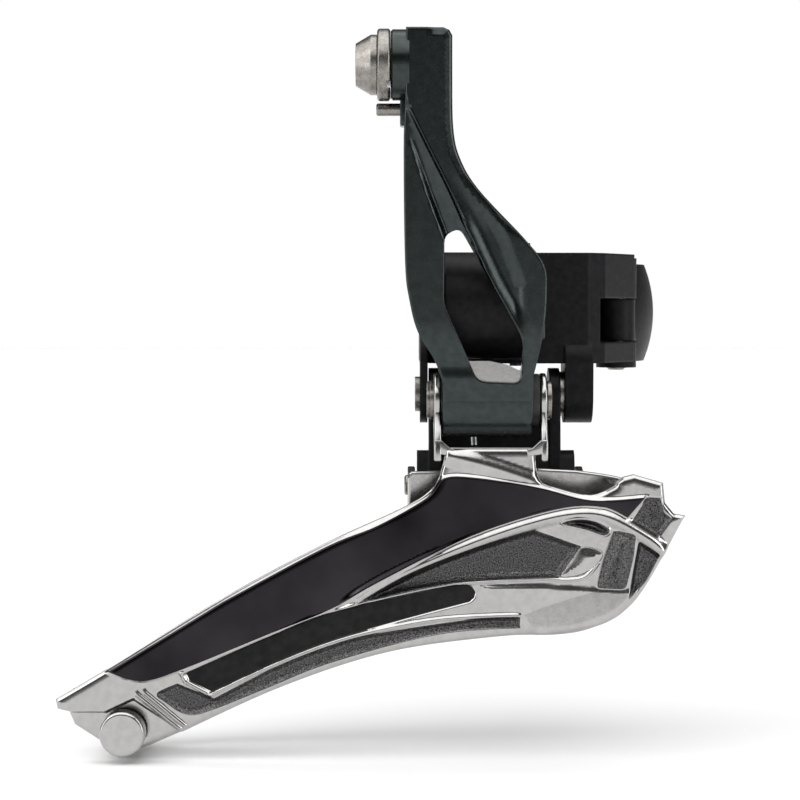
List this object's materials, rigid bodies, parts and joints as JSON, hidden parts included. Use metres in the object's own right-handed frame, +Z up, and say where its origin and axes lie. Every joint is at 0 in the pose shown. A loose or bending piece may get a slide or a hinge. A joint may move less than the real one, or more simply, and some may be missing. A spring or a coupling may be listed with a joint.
{
  "type": "front derailleur",
  "caption": "Band-on front derailleur with a long pull arm, a two-plate chain cage on a parallelogram linkage, limit screws and a hinged seat-tube clamp.",
  "frame": {"origin": "centre of the seat-tube clamp bore, at half the band's height", "axes": "+Z up along the seat tube, +X towards the front of the bicycle, +Y inboard"},
  "size_m": [0.0965, 0.0808, 0.1106],
  "materials": {
    "black_paint": "satin",
    "dark_anodised": "semi-gloss",
    "bright_plate": "polished",
    "steel": "satin",
    "spring_steel": "satin",
    "black_steel": "satin",
    "resin": "matt"
  },
  "bodies": {
    "base": {"base_clamp": "black_paint", "hinge_pin": "black_steel", "link_pin_upper": "steel", "link_thrust_washer": "steel", "arm_bush_rear": "resin", "arm_bush_front": "resin", "return_spring": "spring_steel", "spring_sleeve": "resin"},
    "arm": {"pull_arm": "dark_anodised", "stop_plate": "steel", "arm_pivot_pin": "steel", "cage_bush_rear": "resin", "cage_bush_front": "resin", "cable_washer": "steel", "anchor_pin": "steel"},
    "cage": {"cage_outer_plate": "bright_plate", "cage_inner_plate": "bright_plate", "cage_pin": "steel", "cage_pin_washer": "steel", "link_pin_lower": "steel", "bridge_rivet": "steel", "tail_spacer": "steel", "tail_rivet": "bright_plate"},
    "link": {"inner_link": "black_paint"},
    "band": {"clamp_band": "black_paint", "clamp_washer": "black_steel"},
    "clamp_bolt": {"clamp_bolt": "black_steel"},
    "cable_bolt": {"cable_bolt": "steel"},
    "low_screw": {"low_limit_screw": "black_steel"},
    "high_screw": {"high_limit_screw": "black_steel"}
  },
  "joints": [
    {"name": "arm_swing", "type": "hinge", "parent": "base", "child": "arm", "pos_m": [-0.0105, -0.039, 0.0012], "axis": [-1, 0, 0], "range_deg": [0, 40], "stiffness_Nm_per_rad": 0.6, "springref_deg": -51.57, "deforming": ["return_spring"]},
    {"name": "cage_pivot", "type": "hinge", "parent": "arm", "child": "cage", "pos_m": [-0.01, -0.041, -0.0133], "axis": [-1, 0, 0], "range_deg": [-41, 1]},
    {"name": "link_swing", "type": "hinge", "parent": "base", "child": "link", "pos_m": [-0.0085, -0.0275, -0.013], "axis": [-1, 0, 0], "range_deg": [-1, 41]},
    {"name": "band_hinge", "type": "hinge", "parent": "base", "child": "band", "pos_m": [0.01225, -0.01656, 0], "axis": [0, 0, -1], "range_deg": [0, 75]},
    {"name": "clamp_bolt_turn", "type": "hinge", "parent": "band", "child": "clamp_bolt", "pos_m": [-0.01155, 0.02172, 0], "axis": [-0.8829, -0.4695, 0], "continuous": true},
    {"name": "cable_bolt_turn", "type": "hinge", "parent": "arm", "child": "cable_bolt", "pos_m": [-0.028, -0.0448, 0.03765], "axis": [1, 0, 0], "continuous": true},
    {"name": "low_screw_turn", "type": "hinge", "parent": "base", "child": "low_screw", "pos_m": [-0.0093, -0.0253, 0], "axis": [0, 0, 1], "continuous": true},
    {"name": "high_screw_turn", "type": "hinge", "parent": "base", "child": "high_screw", "pos_m": [-0.005, -0.0275, 0], "axis": [0, 0, 1], "continuous": true}
  ],
  "couplings": [
    {"joint": "cage_pivot", "follows": "arm_swing", "ratio": -1},
    {"joint": "link_swing", "follows": "arm_swing", "ratio": 1}
  ]
}
